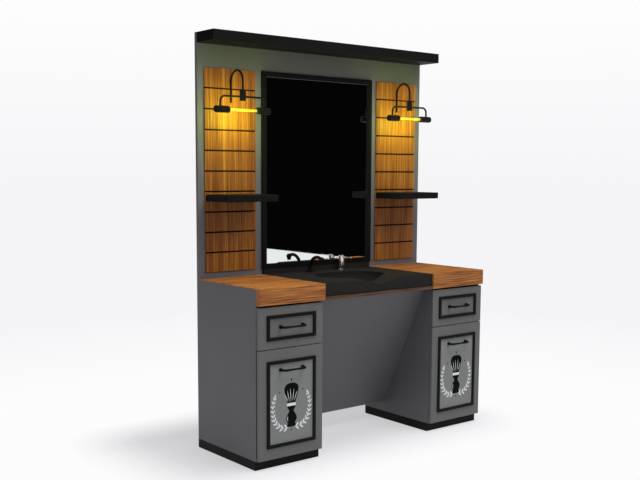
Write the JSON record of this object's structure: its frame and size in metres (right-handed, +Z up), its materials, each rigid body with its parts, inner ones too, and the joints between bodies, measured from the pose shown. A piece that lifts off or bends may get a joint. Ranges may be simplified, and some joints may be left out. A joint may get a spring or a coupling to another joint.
{
  "type": "salon station",
  "caption": "Salon wall station: tall back panel with framed mirror, slatted wood panels and lamps, on two drawer-and-door pedestals with a black basin over a kneehole.",
  "frame": {"origin": "on the floor under the centre of the station's bounding box", "axes": "+X to the viewer's right, +Y towards the wall behind, so the working side faces -Y, +Z up"},
  "size_m": [1.49, 0.562, 2.035],
  "materials": {
    "grey_board": "grey melamine-faced board, matte",
    "front_board": "grey painted board, satin",
    "black_board": "black laminated board, satin",
    "black_trim": "black painted wood, satin",
    "slat_wood": "stained pine, clear lacquer",
    "counter_wood": "stained wood worktop, clear lacquer",
    "bearer_wood": "dark stained board edge",
    "mirror": "silvered",
    "black_metal": "black powder coat, satin",
    "black_plastic": "black moulded",
    "lamp_glass": "warm glowing tube",
    "birch_ply": "clear lacquered birch plywood",
    "steel": "zinc plated",
    "black_ceramic": "black glaze",
    "chrome": "polished"
  },
  "bodies": {
    "station": {"back_panel": "grey_board", "basin": "black_ceramic", "basin_bearer": "bearer_wood", "basin_waste": "chrome", "carcass_hinge_leaves": "steel", "cornice": "black_board", "counter_fascia_left": "counter_wood", "counter_fascia_right": "counter_wood", "counter_top_left": "counter_wood", "counter_top_right": "counter_wood", "kneehole_panel": "grey_board", "lamp_arm_left": "black_metal", "lamp_arm_right": "black_metal", "mirror_frame": "black_trim", "mirror_glass": "mirror", "mixer_body": "chrome", "mixer_pipes": "steel", "pedestal_bottom_left": "grey_board", "pedestal_bottom_right": "grey_board", "pedestal_divider_left": "grey_board", "pedestal_divider_right": "grey_board", "pedestal_side_inner_left": "grey_board", "pedestal_side_inner_right": "grey_board", "pedestal_side_outer_left": "grey_board", "pedestal_side_outer_right": "grey_board", "plinth_left": "black_board", "plinth_right": "black_board", "side_shelf_left": "black_board", "side_shelf_right": "black_board", "slide_rails": "steel", "spout_collar": "black_metal", "wall_screws": "steel", "wood_slats_left": "slat_wood", "wood_slats_right": "slat_wood"},
    "drawer_left": {"drawer_front_left": "front_board", "drawer_trim_left": "black_trim", "drawer_handle_left": "black_metal", "drawer_box_left": "birch_ply"},
    "door_left": {"door_panel_left": "front_board", "door_trim_left": "black_trim", "door_handle_left": "black_metal", "door_hinge_leaf_left": "steel"},
    "lamp_left": {"lamp_head_left": "black_metal", "lamp_holders_left": "black_plastic", "lamp_tube_left": "lamp_glass"},
    "drawer_right": {"drawer_front_right": "front_board", "drawer_trim_right": "black_trim", "drawer_handle_right": "black_metal", "drawer_box_right": "birch_ply"},
    "door_right": {"door_panel_right": "front_board", "door_trim_right": "black_trim", "door_handle_right": "black_metal", "door_hinge_leaf_right": "steel"},
    "lamp_right": {"lamp_head_right": "black_metal", "lamp_holders_right": "black_plastic", "lamp_tube_right": "lamp_glass"},
    "spout": {"spout": "black_metal"},
    "mixer_cap": {"mixer_cap": "chrome"},
    "mixer_lever": {"mixer_lever": "chrome"},
    "waste_plug": {"waste_plug": "chrome"}
  },
  "joints": [
    {"name": "drawer_slide_left", "type": "slide", "parent": "station", "child": "drawer_left", "axis": [0, -1, 0], "range_m": [0, 0.35]},
    {"name": "door_hinge_left", "type": "hinge", "parent": "station", "child": "door_left", "pos_m": [-0.7426, -0.224, 0.3055], "axis": [0, 0, -1], "range_deg": [0, 95]},
    {"name": "lamp_swivel_left", "type": "hinge", "parent": "station", "child": "lamp_left", "pos_m": [-0.5575, 0.149, 1.745], "axis": [0, 0, 1], "range_deg": [-30, 30]},
    {"name": "drawer_slide_right", "type": "slide", "parent": "station", "child": "drawer_right", "axis": [0, -1, 0], "range_m": [0, 0.35]},
    {"name": "door_hinge_right", "type": "hinge", "parent": "station", "child": "door_right", "pos_m": [0.7426, -0.224, 0.3055], "axis": [0, 0, 1], "range_deg": [0, 95]},
    {"name": "lamp_swivel_right", "type": "hinge", "parent": "station", "child": "lamp_right", "pos_m": [0.5575, 0.149, 1.745], "axis": [0, 0, 1], "range_deg": [-30, 30]},
    {"name": "spout_swivel", "type": "hinge", "parent": "station", "child": "spout", "pos_m": [-0.089, 0.217, 0.86], "axis": [0, 0, 1], "range_deg": [-60, 60]},
    {"name": "mixer_turn", "type": "hinge", "parent": "station", "child": "mixer_cap", "pos_m": [0.127, 0.217, 0.91], "axis": [0, 0, 1], "range_deg": [-45, 45]},
    {"name": "mixer_lift", "type": "hinge", "parent": "mixer_cap", "child": "mixer_lever", "pos_m": [0.127, 0.2025, 0.91905], "axis": [-1, 0, 0], "range_deg": [0, 22]},
    {"name": "plug_lift", "type": "slide", "parent": "station", "child": "waste_plug", "axis": [0, 0, 1], "range_m": [0, 0.008]}
  ]
}
